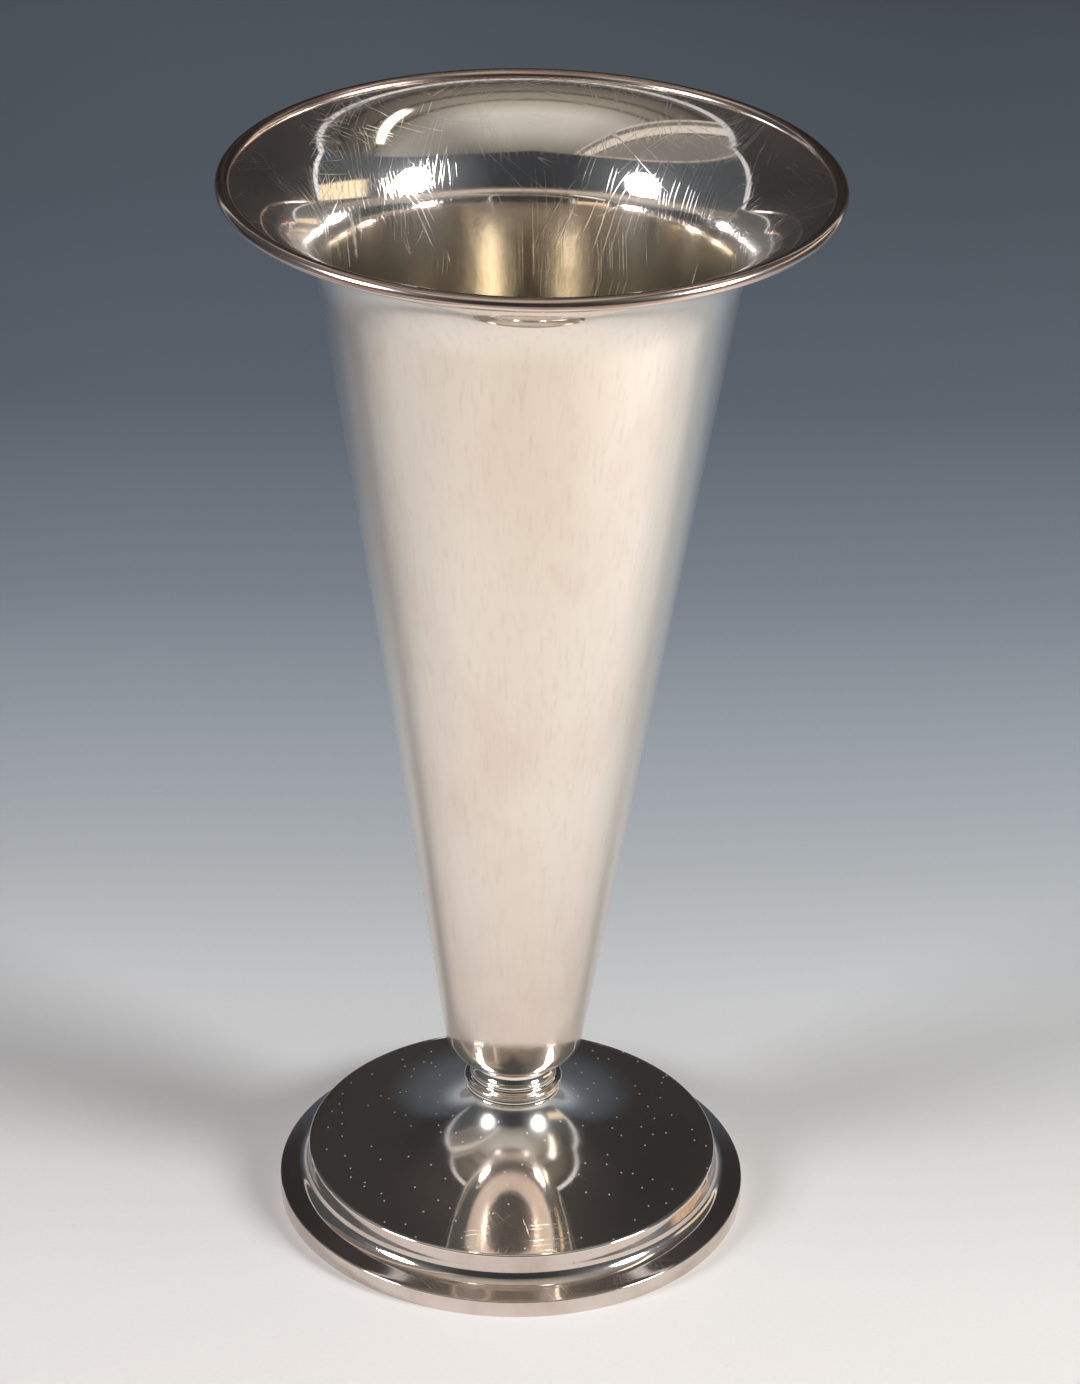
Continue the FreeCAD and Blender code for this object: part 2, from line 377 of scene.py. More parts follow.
def polishedSilver(name, **changes):
    look = dict(silverLook, **changes)
    material, tree, shader = newMaterial(name)
    place = addNode(tree, "TexCoord", {}, output=3)
    # clouds of stain and the cloth's marks
    tall = addNode(tree, "Mapping", {"Vector": place, "Scale": (1.0, 1.0, look["stainTall"])})
    stain = noiseNode(tree, tall, look["stainMm"], detail=5.0, roughness=0.6)
    stain = addNode(tree, "MapRange", {0: stain, **over(look["stainSpan"], 0.0, look["stainAmount"])},
                    **smooth)
    bright, stained = hexColour(look["bright"]), hexColour(look["stained"])
    colour = addNode(tree, "Mix", {0: stain, 6: bright, 7: stained}, **colours)
    cloth = noiseNode(tree, place, look["clothMm"], detail=2.0)
    smoothest = look["roughness"]
    roughest = smoothest * look["clothRoughness"]
    rough = addNode(tree, "MapRange", {0: cloth, **over(look["clothSpan"], smoothest, roughest)})
    if look["streakAmount"]:
        flow = addNode(tree, "Mapping", {"Vector": place, "Scale": (1.0, 1.0, 1 / look["streakLong"])})
        streak = noiseNode(tree, flow, look["streakMm"], detail=5.0, roughness=0.7)
        streak = addNode(tree, "MapRange", {0: streak, **over(look["streakSpan"], 0.0, look["streakAmount"])},
                         **smooth)
        colour = addNode(tree, "Mix", {0: streak, 6: colour, 7: hexColour(look["streaked"])}, **colours)
        blur = addNode(tree, "Math", {0: streak, 1: look["streakRoughness"]}, **times)
        rough = addNode(tree, "Math", {0: rough, 1: blur})
    if look["tarnish"]:
        colour, rough = tarnished(tree, place, look["tarnish"], colour, rough)
    # hairlines blur the mirror and are cut into the waves that buffing has left
    lines = hairlines(tree, place, look)
    blur = addNode(tree, "Math", {0: lines, 1: look["hairRoughness"]}, **times)
    rough = addNode(tree, "Math", {0: rough, 1: blur}, **largest)
    wave = noiseNode(tree, place, look["buffWaveMm"], detail=1.0)
    wave = addNode(tree, "Math", {0: wave, 1: look["buffWaveDepth"]}, **times)
    groove = addNode(tree, "Math", {0: lines, 1: look["hairDepth"]}, **times)
    relief = addNode(tree, "Math", {0: wave, 1: groove}, operation="SUBTRACT")
    bump = bumpNode(tree, relief, look)
    metal = 1.0
    if look["dustAmount"]:
        # specks of dust, matt and not metallic
        cell = {"Vector": place, "Scale": perMetre(look["dustMm"])}
        speck = addNode(tree, "TexVoronoi", cell, voronoi_dimensions="2D")
        speck = addNode(tree, "MapRange", {0: speck, **over(look["dustSpan"], 1.0, 0.0)}, **smooth)
        middle = addNode(tree, "TexVoronoi", cell, 2, voronoi_dimensions="2D")
        chosen = addNode(tree, "TexWhiteNoise", {0: middle})
        chosen = addNode(tree, "Math", {0: chosen, 1: look["dustAmount"]}, operation="LESS_THAN")
        speck = addNode(tree, "Math", {0: speck, 1: chosen}, **times)
        colour = addNode(tree, "Mix", {0: speck, 6: colour, 7: hexColour(look["dust"])}, **colours)
        dusty = addNode(tree, "Math", {0: speck, 1: look["dustRoughness"]}, **times)
        rough = addNode(tree, "Math", {0: rough, 1: dusty}, **largest)
        metal = addNode(tree, "Math", {0: 1.0, 1: speck}, operation="SUBTRACT")
    finishSurface(tree, shader, colour, rough, bump, metal)
    shader.inputs["Coat Weight"].default_value = look["haze"]
    shader.inputs["Coat Roughness"].default_value = look["hazeRoughness"]
    return material


# the darker tint towards the cone's foot is painted shade: it stands in for the shadowed paper near the foot
# that the lower cone mirrors
sterlingOutside = polishedSilver(
    "polishedSterlingCone",
    streakAmount=0.3,
    hairShare=0.2,
    hairDepth=0.05,
    tarnish={"colour": "#ccb6aa", "share": 0.55, "roughness": 0.03,
             "along": "height", "reach": (120.0, 42.0)},
)
sterlingInside = polishedSilver(
    "polishedSterlingMouth",
    bright="#f6f0ea",
    stainAmount=0.4,
    hairMm=1.7,
    hairShare=1.3,
    hairDepth=0.35,
    hairRoughness=0.3,
    tarnish={"colour": "#c9c0aa", "share": 0.9, "roughness": 0.13,
             "along": "height", "reach": (226.0, 207.0)},
)
sterlingFoot = polishedSilver(
    "polishedSterlingPlate",
    stainAmount=0.5,
    dustAmount=0.6,
    tarnish={"colour": "#c4c4c6", "share": 0.5, "roughness": 0.16,
             "along": "radius", "reach": (26.0, 10.0)},
)
# darker silver for the wall, cove, flange and band: painted shade, standing in for the shadowed paper near
# the foot that they mirror
sterlingFlange = polishedSilver(
    "shadeTintedSterlingFlange",
    bright="#ddd0c7",
    stained="#c6b4a9",
    stainMm=12.0,
    roughness=0.05,
    hairMm=1.7,
    hairShare=1.0,
)
sterlingSmall = polishedSilver("polishedSterlingMouldings", hairShare=0.3)
print("silver finishes made")


# On the rim wire's silver, brown and rosy lines run along it, with bright ones between.

wireLook = {
    "bright": "#efe2d8",
    "rosy": "#b99e95",
    "dark": "#6d5d55",
    "lineMm": 0.5,
    "lineLong": 60.0,
    "rosySpan": (0.42, 0.58),
    "darkSpan": (0.6, 0.7),
    "roughSpan": (0.3, 0.7),
    "roughness": 0.12,
    "lineRoughness": 2.2,    # times the roughness
    "reliefStrength": 0.4,
    "reliefMm": 0.02,
}


def bandedWire():
    look = wireLook
    material, tree, shader = newMaterial("bandedSterlingWire")
    place = addNode(tree, "TexCoord", {}, output=3)
    flat = addNode(tree, "VectorMath", {0: place, 1: (1.0, 1.0, 0.0)}, **times)
    radius = addNode(tree, "VectorMath", {0: flat}, output=1, operation="LENGTH")
    height = addNode(tree, "SeparateXYZ", {0: place}, output=2)
    profile = addNode(tree, "CombineXYZ", {0: radius, 1: height})
    drift = addNode(tree, "VectorMath", {0: flat, "Scale": 1 / look["lineLong"]}, operation="SCALE")
    profile = addNode(tree, "VectorMath", {0: profile, 1: drift})
    lines = noiseNode(tree, profile, look["lineMm"], detail=3.0, roughness=0.65)
    rosy = addNode(tree, "MapRange", {0: lines, **over(look["rosySpan"])}, **smooth)
    dark = addNode(tree, "MapRange", {0: lines, **over(look["darkSpan"])}, **smooth)
    bright = hexColour(look["bright"])
    colour = addNode(tree, "Mix", {0: rosy, 6: bright, 7: hexColour(look["rosy"])}, **colours)
    colour = addNode(tree, "Mix", {0: dark, 6: colour, 7: hexColour(look["dark"])}, **colours)
    roughest = look["roughness"] * look["lineRoughness"]
    rough = addNode(tree, "MapRange", {0: lines, **over(look["roughSpan"], look["roughness"], roughest)})
    bump = bumpNode(tree, lines, look)
    finishSurface(tree, shader, colour, rough, bump)
    return material


# Trumpet body: cup, straight cone and flared lip

trumpet = {
    "height": 245.0,
    "mouthRadius": 64.4,
    "sheet": 0.8,
    "coneAngle": 8.8,
    "lipAngle": 77.0,
    "bottom": 34.9,
    "cupFlat": 8.46,
    "cupBend": 7.04,
    "wireRadius": 1.5,
    "lipStep": 1.5,          # degrees between points, as are the other steps of arcs
    "wireStep": 4.0,
    "segments": 256,
}


def makeTrumpet():
    body = trumpet
    cone = math.radians(body["coneAngle"])
    wire = (body["mouthRadius"] - body["wireRadius"], body["height"] - body["wireRadius"])
    cup = (body["cupFlat"], body["bottom"] + body["cupBend"])
    coneFoot = pointAt(cup, body["cupBend"], -body["coneAngle"])

    def offset(point):
        return point[0] * math.cos(cone) - point[1] * math.sin(cone)

    turn = math.cos(math.radians(body["lipAngle"] - body["coneAngle"]))
    flare = (offset(wire) - offset(coneFoot) + body["sheet"] / 2 * turn) / (1 - turn)
    centre = pointAt(wire, flare + body["sheet"] / 2, -body["lipAngle"])
    start, end = 180 - body["coneAngle"], 180 - body["lipAngle"]
    outerCup = arc(cup, body["cupBend"], -90, -body["coneAngle"])
    outerLip = arc(centre, flare, start, end, body["lipStep"])
    innerLip = arc(centre, flare + body["sheet"], end, start, body["lipStep"])
    innerCup = arc(cup, body["cupBend"] - body["sheet"], -body["coneAngle"], -90)
    outside = (straight((0, body["bottom"]), outerCup[0]) + outerCup + straight(outerCup[-1], outerLip[0])
               + outerLip)
    inside = (innerLip + straight(innerLip[-1], innerCup[0]) + innerCup
              + straight(innerCup[-1], (0, body["bottom"] + body["sheet"])))
    silver = (sterlingOutside, sterlingInside)
    piece = lathe("trumpetBody", outside + inside, body["segments"], silver, len(outside))
    standFor(piece, "trumpet_body")
    return wire, outerLip[-1], innerLip[0]


lipEdge = makeTrumpet()
print("trumpet body turned")


# Rim wire: round wire soldered round the edge of the lip

def makeRimWire(wire, lipUnder, lipTop):
    radius = trumpet["wireRadius"]
    reach = math.degrees(math.asin(trumpet["sheet"] / 2 / radius))
    along = 180 + 90 - trumpet["lipAngle"]
    section = arc(wire, radius, along - reach, along + reach - 360, trumpet["wireStep"])
    piece = lathe("rimWire", section + [lipUnder, lipTop], trumpet["segments"], (bandedWire(),))
    standFor(piece, "rim_wire")


makeRimWire(*lipEdge)
print("rim wire turned")


# Neck spool and collar ring between the body and the foot

neck = {
    "foot": 30.3,
    "topRadius": 8.4,
    "waistRadius": 8.1,
    "footRadius": 9.3,
    "footBand": 0.6,
    "footRound": 0.3,
    "topBand": 0.3,
    "waistShare": 0.52,      # of the waist's height
    "headSeat": 33.7,
    "headRadius": 5.6,
    "hole": 2.6,
    "roundStep": 15.0,
    "waistCount": 16,
    "segments": 128,
}


def makeNeck():
    ringTop = neck["foot"] + neck["footBand"]
    waistStart = ringTop + neck["footRound"]
    top = trumpet["bottom"]
    waistEnd = top - neck["topBand"]
    waist = (neck["waistRadius"], waistStart + (waistEnd - waistStart) * neck["waistShare"])
    roundCentre = (neck["footRadius"] - neck["footRound"], ringTop)
    roundEdge = arc(roundCentre, neck["footRound"], 0, 90, neck["roundStep"])
    outline = [(neck["hole"], neck["foot"]), (neck["footRadius"], neck["foot"])] + roundEdge
    outline += through(roundEdge[-1], waist, (neck["topRadius"], waistEnd), neck["waistCount"])
    outline += [(neck["topRadius"], top), (neck["headRadius"], top), (neck["headRadius"], neck["headSeat"]),
                (neck["hole"], neck["headSeat"])]
    piece = lathe("neckSpool", outline, neck["segments"], (sterlingSmall,))
    standFor(piece, "neck_spool")


collar = {
    "stemTop": 26.4,
    "radius": 10.95,
    "bead": 0.45,
    "beadTurn": 60.0,        # degrees above or below level where a bead meets the groove
    "ledgeTurn": 120.0,
    "lowerInset": 0.2,
    "grooveDepth": 0.4,
    "upperDrop": 1.2,
    "ledgeDip": 0.3,
    "beadStep": 12.0,
    "grooveCount": 10,
    "ledgeCount": 8,
    "segments": 160,
}


def makeCollar():
    upper = (collar["radius"] - collar["bead"], neck["foot"] - collar["upperDrop"])
    lower = (collar["radius"] - collar["lowerInset"] - collar["bead"], collar["stemTop"] + collar["bead"])
    lowerBead = arc(lower, collar["bead"], -90, collar["beadTurn"], collar["beadStep"])
    upperBead = arc(upper, collar["bead"], -collar["beadTurn"], collar["ledgeTurn"], collar["beadStep"])
    grooveRadius = collar["radius"] - collar["grooveDepth"] - (upperBead[0][0] - lowerBead[-1][0])
    grooveMiddle = (grooveRadius, (upper[1] + lower[1]) / 2)
    ledgeStart = upperBead[-1]
    ledgeMiddle = ((neck["footRadius"] + ledgeStart[0]) / 2,
                   (neck["foot"] + ledgeStart[1]) / 2 - collar["ledgeDip"])
    outline = [(neck["hole"], collar["stemTop"])] + lowerBead
    outline += through(lowerBead[-1], grooveMiddle, upperBead[0], collar["grooveCount"]) + upperBead
    outline += through(ledgeStart, ledgeMiddle, (neck["footRadius"], neck["foot"]), collar["ledgeCount"])
    outline += [(neck["hole"], neck["foot"])]
    piece = lathe("collarRing", outline, collar["segments"], (sterlingSmall,))
    standFor(piece, "collar_ring")


makeNeck()
makeCollar()
print("neck and collar turned")


# Foot shell: stem, flare, plate, wall, cove and flange in one spinning

foot = {
    "radius": 52.5,
    "sheet": 0.8,
    "stemRadius": 8.3,
    "stemStraight": 1.0,
    "stemAngle": 78.0,
    "plateAngle": 2.0,
    "stemPull": 0.33,        # shares of the flare's height and width
    "platePull": 0.816,
    "insetPull": 0.5,
    "plateRadius": 45.2,
    "plateHeight": 11.5,
    "edgeRise": 0.1,         # the plate's rounded edge stands a little proud
    "edgeRound": 0.45,
    "wallRadius": 46.0,
    "cove": 3.56,
    "flangeAngle": 14.0,
    "flangeEdge": 3.87,
    "band": 1.2,
    "bandRound": 0.35,
    "flareCount": 72,
    "stemStep": 1.0,
    "wallStep": 0.5,
    "edgeStep": 9.0,
    "coveStep": 4.0,
    "innerCoveStep": 6.0,
    "bandStep": 8.0,
    "segments": 256,
}


def flareLine(inset):
    # one smooth curve from the stem's side down to the plate's edge, moved into the metal by the inset
    steep, flat = math.radians(foot["stemAngle"]), math.radians(foot["plateAngle"])
    down = Vector((math.cos(steep), -math.sin(steep)))
    level = Vector((math.cos(flat), -math.sin(flat)))
    side = collar["stemTop"] - foot["stemStraight"]
    start = Vector((foot["stemRadius"] + foot["stemStraight"] / math.tan(steep), side))
    end = Vector((foot["plateRadius"], foot["plateHeight"]))
    stemPull = (start.y - end.y) * foot["stemPull"] + inset * foot["insetPull"]
    platePull = (end.x - start.x) * foot["platePull"] + inset * foot["insetPull"]
    start = start + inset * Vector((down.y, -down.x))
    end = end + inset * Vector((level.y, -level.x))
    curve = []
    for index in range(foot["flareCount"] + 1):
        t = index / foot["flareCount"]
        point = ((1 - t) ** 3 * start + 3 * t * (1 - t) ** 2 * (start + stemPull * down)
                 + 3 * t * t * (1 - t) * (end - platePull * level) + t ** 3 * end)
        curve.append((point.x, point.y))
    return curve


def makeFoot():
    slope = math.radians(foot["flangeAngle"])
    steep = math.radians(foot["stemAngle"])
    sheet = foot["sheet"]
    top = collar["stemTop"]
    coveTurn = 270 - foot["flangeAngle"]
    coveEnd = foot["wallRadius"] + foot["cove"] * (1 + math.cos(math.radians(coveTurn)))
    coveEndHeight = foot["flangeEdge"] + (foot["radius"] - coveEnd) * math.tan(slope)
    coveCentre = (foot["wallRadius"] + foot["cove"], coveEndHeight + foot["cove"] * math.cos(slope))
    edgeCentre = (foot["wallRadius"] - foot["edgeRound"],
                  foot["plateHeight"] + foot["edgeRise"] - foot["edgeRound"])
    bandInner = foot["radius"] - foot["band"]
    flangeTop = foot["flangeEdge"] + foot["band"] * math.tan(slope)
    # the side that shows, from the stem down to the flange
    outer = flareLine(0)
    outline = [(neck["hole"], top)] + straight((foot["stemRadius"], top), outer[0], foot["stemStep"]) + outer
    outline += arc(edgeCentre, foot["edgeRound"], 90, 0, foot["edgeStep"])
    plateEnd = len(outline) - 1
    coveLine = arc(coveCentre, foot["cove"], 180, coveTurn, foot["coveStep"])
    outline += straight(outline[-1], coveLine[0], foot["wallStep"]) + coveLine
    outline += straight(coveLine[-1], (bandInner, flangeTop), foot["wallStep"])
    # back up inside the sheet
    inner = flareLine(sheet)
    inner.reverse()
    innerSide = foot["stemRadius"] + sheet / math.tan(steep) - sheet / math.sin(steep)
    outline += [(bandInner, flangeTop - sheet / math.cos(slope))]
    outline += arc(coveCentre, foot["cove"] + sheet, coveTurn, 180, foot["innerCoveStep"])
    outline += [(foot["wallRadius"] - sheet, foot["plateHeight"] - sheet)] + inner
    outline += [(innerSide, top - sheet), (neck["hole"], top - sheet)]
    piece = lathe("footShell", outline, foot["segments"], (sterlingFoot, sterlingFlange), plateEnd)
    standFor(piece, "foot_shell")


def makeFootBand():
    slope = math.radians(foot["flangeAngle"])
    inner = foot["radius"] - foot["band"]
    line = foot["flangeEdge"] + foot["bandRound"] * math.tan(slope)
    centre = (foot["radius"] - foot["bandRound"], line - foot["bandRound"] / math.cos(slope))
    outline = [(inner, 0), (foot["radius"], 0), (foot["radius"], centre[1])]
    outline += arc(centre, foot["bandRound"], 0, 90 - foot["flangeAngle"], foot["bandStep"])
    outline += [(inner, foot["flangeEdge"] + foot["band"] * math.tan(slope))]
    piece = lathe("footBand", outline, foot["segments"], (sterlingFlange,))
    standFor(piece, "foot_band")


makeFoot()
makeFootBand()
print("foot turned")


# Inner parts: the steel stud, washer and nut, the poured filling and the plate that closes it

innerLook = {
    "markSpan": (0.0, 1.0),
    "markFade": "LINEAR",
    "stretch": (1.0, 1.0, 1.0),
    "detail": 3.0,
    "distortion": 0.0,
    "roughSpan": (0.3, 0.7),
    "reliefStrength": 0.5,
    "reliefMm": 0.0,
    "metallic": 1.0,
}


def innerFinish(name, **changes):
    look = dict(innerLook, **changes)
    material, tree, shader = newMaterial(name)
    place = addNode(tree, "TexCoord", {}, output=3)
    place = addNode(tree, "Mapping", {"Vector": place, "Scale": look["stretch"]})
    pattern = noiseNode(tree, place, look["patternMm"], look["detail"], distortion=look["distortion"])
    mark = addNode(tree, "MapRange", {0: pattern, **over(look["markSpan"])},
                   interpolation_type=look["markFade"])
    base, marks = hexColour(look["base"]), hexColour(look["marks"])
    colour = addNode(tree, "Mix", {0: mark, 6: base, 7: marks}, **colours)
    rough = addNode(tree, "MapRange", {0: pattern, **over(look["roughSpan"], *look["roughness"])})
    bump = bumpNode(tree, pattern, look) if look["reliefMm"] else None
    finishSurface(tree, shader, colour, rough, bump, look["metallic"])
    return material


# bright mild steel off the lathe: fine rings that spread the light
steel = innerFinish("turnedMildSteel", base="#b4b6b8", marks="#8f9193", patternMm=0.25,
                    stretch=(0.1, 0.1, 1.0), roughSpan=(0.0, 1.0), roughness=(0.2, 0.42), reliefMm=0.02)
# pitch mixed with plaster: near black, slightly shiny, with pale grains
pitch = innerFinish("pouredPitchFilling", base="#1d1815", marks="#4a4038", markSpan=(0.55, 0.7),
                    markFade="SMOOTHSTEP", patternMm=1.2, detail=4.0, roughness=(0.35, 0.7),
                    reliefStrength=0.6, reliefMm=0.2, metallic=0.0)
# hot-dipped tinplate: clouded, softly shining
tin = innerFinish("hotDippedTinplate", base="#c6c7c5", marks="#a7a9a8", patternMm=6.0, distortion=0.8,
                  roughness=(0.25, 0.45))
for part in ("tie_stud", "stud_washer", "stud_nut"):
    dressNode(part, steel)
dressNode("foot_loading", pitch)
dressNode("base_plate", tin)


# Baize pad: wool cloth glued under the foot, cut 0.2 mm inside the band

pad = {
    "radius": 51.1,
    "thickness": 1.6,
    "edgeRound": 0.5,
    "nap": 0.08,             # how far the pressed wool rises and falls
    "napMm": 2.2,
    "green": "#33583f",
    "greenLight": "#54795c",
    "fibreMm": 0.7,          # wool fibres, coarser than real ones so that they show
    "fibreLong": 0.22,       # stretches the pattern into fibres
    "fibreTurns": (0.6, 2.1),
    "fibreSpan": (0.45, 0.72),
    "reliefStrength": 0.7,
    "reliefMm": 0.12,
    "patchMm": 14.0,
    "patchSpan": (0.35, 0.65),
    "patchShade": 0.2,
    "lowerStep": 1.3,
    "upperStep": 3.0,
    "edgeStep": 15.0,
    "segments": 180,
    "roughness": 0.95,
    "sheen": 0.35,
    "gloss": 0.2,
}


def woolBaize():
    # milled wool cloth: matt, slightly furry, lighter where fibres stand up
    material, tree, shader = newMaterial("milledWoolBaize")
    place = addNode(tree, "TexCoord", {}, output=3)
    layers = []
    for turn in pad["fibreTurns"]:
        layer = addNode(tree, "Mapping", {"Vector": place, "Rotation": (0.0, 0.0, turn),
                                          "Scale": (1.0, pad["fibreLong"], 1.0)})
        layers.append(noiseNode(tree, layer, pad["fibreMm"], detail=4.0))
    fibres = addNode(tree, "Math", {0: layers[0], 1: layers[1]}, **largest)
    patch = noiseNode(tree, place, pad["patchMm"], detail=2.0)
    shade = over(pad["patchSpan"], -pad["patchShade"], pad["patchShade"])
    patch = addNode(tree, "MapRange", {0: patch, **shade})
    light = addNode(tree, "MapRange", {0: fibres, **over(pad["fibreSpan"])}, **smooth)
    light = addNode(tree, "Math", {0: light, 1: patch}, use_clamp=True)
    green, pale = hexColour(pad["green"]), hexColour(pad["greenLight"])
    colour = addNode(tree, "Mix", {0: light, 6: green, 7: pale}, **colours)
    finishSurface(tree, shader, colour, pad["roughness"], bumpNode(tree, fibres, pad), 0.0)
    shader.inputs["Sheen Weight"].default_value = pad["sheen"]
    shader.inputs["Specular IOR Level"].default_value = pad["gloss"]
    return material


def makePad():
    edge = pad["edgeRound"]
    rim = pad["radius"] - edge
    lower = straight((0, 0), (rim, 0), pad["lowerStep"])
    side = arc((rim, edge), edge, -90, 0, pad["edgeStep"])
    upper = straight((pad["radius"], pad["thickness"]), (0, pad["thickness"]), pad["upperStep"])
    piece = lathe("baizePad", lower + side + upper, pad["segments"], (woolBaize(),))
    for vertex in piece.data.vertices:
        if vertex.co.z < edge * mm:
            spot = vertex.co / (pad["napMm"] * mm)
            vertex.co.z += pad["nap"] * mm * (0.5 + 0.5 * noise.noise(spot))
    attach(piece, "root")
    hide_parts("baize_pad")


makePad()
print("inner parts dressed, baize cut")


# Floor, backdrop and lamps. The sweep is one sheet of paper whose colour carries painted light falloff, pale
# in front and dark above.

sweep = {
    "floorHalf": 2000.0,
    "sheetHalf": 490.0,
    "front": -1500.0,
    "bendStart": 150.0,
    "bendRadius": 300.0,
    "top": 820.0,
    "topSlope": -0.15,       # the sheet hangs lower at its right
    "edge": 50.0,            # bare white edge of the paper
    "edgeColour": "#ffffff",
    "besideFade": (100.0, 300.0),
    "leftShade": 0.78,       # beside the vase, the left of the sheet lies in less light than the right
    "rightShade": 1.03,
    "cornerFade": (-40.0, 120.0),
    "cornerRise": (30.0, 200.0),
    "cornerShade": 0.69,     # and so does the wall's right side
    "farFade": (280.0, 650.0),
    "farShade": 0.45,        # the paper is greyer out under the lamps, where it would glare
    "grainMm": 0.9,
    "grainSpan": (0.3, 0.7),
    "grainShade": 0.015,
    "roughness": 0.9,
    "gloss": 0.1,
}

# colours along the sheet, by distance back plus height: painted light falloff and painted shade, darker far
# in front
paperStops = {
    -600: "#cdc5bc",
    -240: "#e6dfd6",
    -120: "#ebe7e3",
    -40: "#e8e6e4",
    0: "#dedddc",
    35: "#d6d7d7",
    80: "#d3d5d7",
    126: "#c2c8cc",
    177: "#adb4bb",
    276: "#7f8893",
    370: "#5d6670",
    461: "#525a63",
    538: "#4f565e",
    640: "#343434",
    720: "#353331",
    880: "#353230",
    1060: "#454140",
    1310: "#4b4745",
}


def fillStops(band, stops, low, high):
    # sets a colour band's stops from a dictionary of place to colour
    while len(band.elements) < len(stops):
        band.elements.new(0.5)
    for element, place in zip(band.elements, sorted(stops)):
        element.position = (place - low) / (high - low)
        element.color = hexColour(stops[place])


def paperWithPaintedFalloff():
    # matt paper whose colour carries painted light falloff, which gives the backdrop its fall from pale to
    # blue-grey, and painted shade at the sides
    material, tree, shader = newMaterial("paperWithPaintedFalloff")
    place = addNode(tree, "NewGeometry", {})
    across, back, height = (addNode(tree, "SeparateXYZ", {0: place}, output=k) for k in range(3))
    along = addNode(tree, "Math", {0: back, 1: height})
    places = sorted(paperStops)
    along = addNode(tree, "MapRange", {0: along, **over(metres((places[0], places[-1])))})
    bands = addNode(tree, "ValToRGB", {0: along})
    fillStops(bands.node.color_ramp, paperStops, places[0], places[-1])
    # uneven light: beside the vase, up the right side and out under the lamps
    shade = sideShade(tree, across, metres(sweep["besideFade"]), sweep["leftShade"], sweep["rightShade"])
    rise = addNode(tree, "MapRange", {0: height, **over(metres(sweep["cornerRise"]))}, **smooth)
    corner = over(metres(sweep["cornerFade"]), 0.0, 1 - sweep["cornerShade"])
    corner = addNode(tree, "MapRange", {0: across, **corner})
    corner = addNode(tree, "Math", {0: corner, 1: rise}, **times)
    corner = addNode(tree, "Math", {0: 1.0, 1: corner}, operation="SUBTRACT")
    shade = addNode(tree, "Math", {0: shade, 1: corner}, **times)
    aside = addNode(tree, "Math", {0: across}, operation="ABSOLUTE")
    outer = over(metres(sweep["farFade"]), 1.0, sweep["farShade"])
    outer = addNode(tree, "MapRange", {0: aside, **outer}, **smooth)
    shade = addNode(tree, "Math", {0: shade, 1: outer}, **times)
    bands = addNode(tree, "VectorMath", {0: bands, "Scale": shade}, operation="SCALE")
    grain = noiseNode(tree, place, sweep["grainMm"], detail=3.0)
    shade = over(sweep["grainSpan"], 1 - sweep["grainShade"], 1 + sweep["grainShade"])
    grain = addNode(tree, "MapRange", {0: grain, **shade})
    bands = addNode(tree, "VectorMath", {0: bands, "Scale": grain}, operation="SCALE")
    # the bare edge at the sides and top of the hanging part
    sideStart = (sweep["sheetHalf"] - sweep["edge"]) * mm
    topStart = (sweep["top"] - sweep["edge"]) * mm
    side = addNode(tree, "Math", {0: aside, 1: sideStart}, operation="GREATER_THAN")
    upper = addNode(tree, "Math", {0: across, 1: sweep["topSlope"]}, **times)
    upper = addNode(tree, "Math", {0: height, 1: upper}, operation="SUBTRACT")
    upper = addNode(tree, "Math", {0: upper, 1: topStart}, operation="GREATER_THAN")
    raised = addNode(tree, "Math", {0: height, 1: sweep["edge"] * mm}, operation="GREATER_THAN")
    edge = addNode(tree, "Math", {0: side, 1: upper}, **largest)
    edge = addNode(tree, "Math", {0: edge, 1: raised}, **times)
    colour = addNode(tree, "Mix", {0: edge, 6: bands, 7: hexColour(sweep["edgeColour"])}, **colours)
    finishSurface(tree, shader, colour, sweep["roughness"], None, 0.0)
    shader.inputs["Specular IOR Level"].default_value = sweep["gloss"]
    # from behind, the paper lets the camera see through it, so that it hides no side of the vase
    behind = addNode(tree, "NewGeometry", {}, output=6)
    clear = addNode(tree, "Math", {0: behind, 1: addNode(tree, "LightPath", {})}, **times)
    nothing = addNode(tree, "BsdfTransparent", {})
    surface = addNode(tree, "MixShader", {0: clear, 1: shader.outputs[0], 2: nothing})
    tree.links.new(surface, tree.nodes["Material Output"].inputs["Surface"])
    return material


def sheetOf(name, outline, half, material, topSlope=0.0):
    # a sheet of paper that keeps its width along an outline of (back, up), with a slanting top edge
    vertices = []
    for y, z in outline:
        vertices += [(-half * mm, y * mm, z * mm), (half * mm, y * mm, z * mm)]
    y, z = outline[-1]
    vertices[-2:] = [(x * mm, y * mm, (z + topSlope * x) * mm) for x in (-half, half)]
    faces = [(2 * k, 2 * k + 1, 2 * k + 3, 2 * k + 2) for k in range(len(outline) - 1)]
    mesh = bpy.data.meshes.new(name)
    mesh.from_pydata(vertices, [], faces)
    mesh.polygons.foreach_set("use_smooth", [True] * len(faces))
    mesh.materials.append(material)
    sheet = bpy.data.objects.new(name, mesh)
    scene.collection.objects.link(sheet)


def makeStage():
    paper = paperWithPaintedFalloff()
    far = sweep["bendStart"] + sweep["bendRadius"]
    bend = arc((sweep["bendStart"], sweep["bendRadius"]), sweep["bendRadius"], -90, 0)
    sheetOf("sweepWall", bend + [(far, sweep["top"])], sweep["sheetHalf"], paper, sweep["topSlope"])
    sheetOf("floor", [(sweep["front"], 0), (sweep["bendStart"], 0), (sweep["floorHalf"], 0)],
            sweep["floorHalf"], paper)


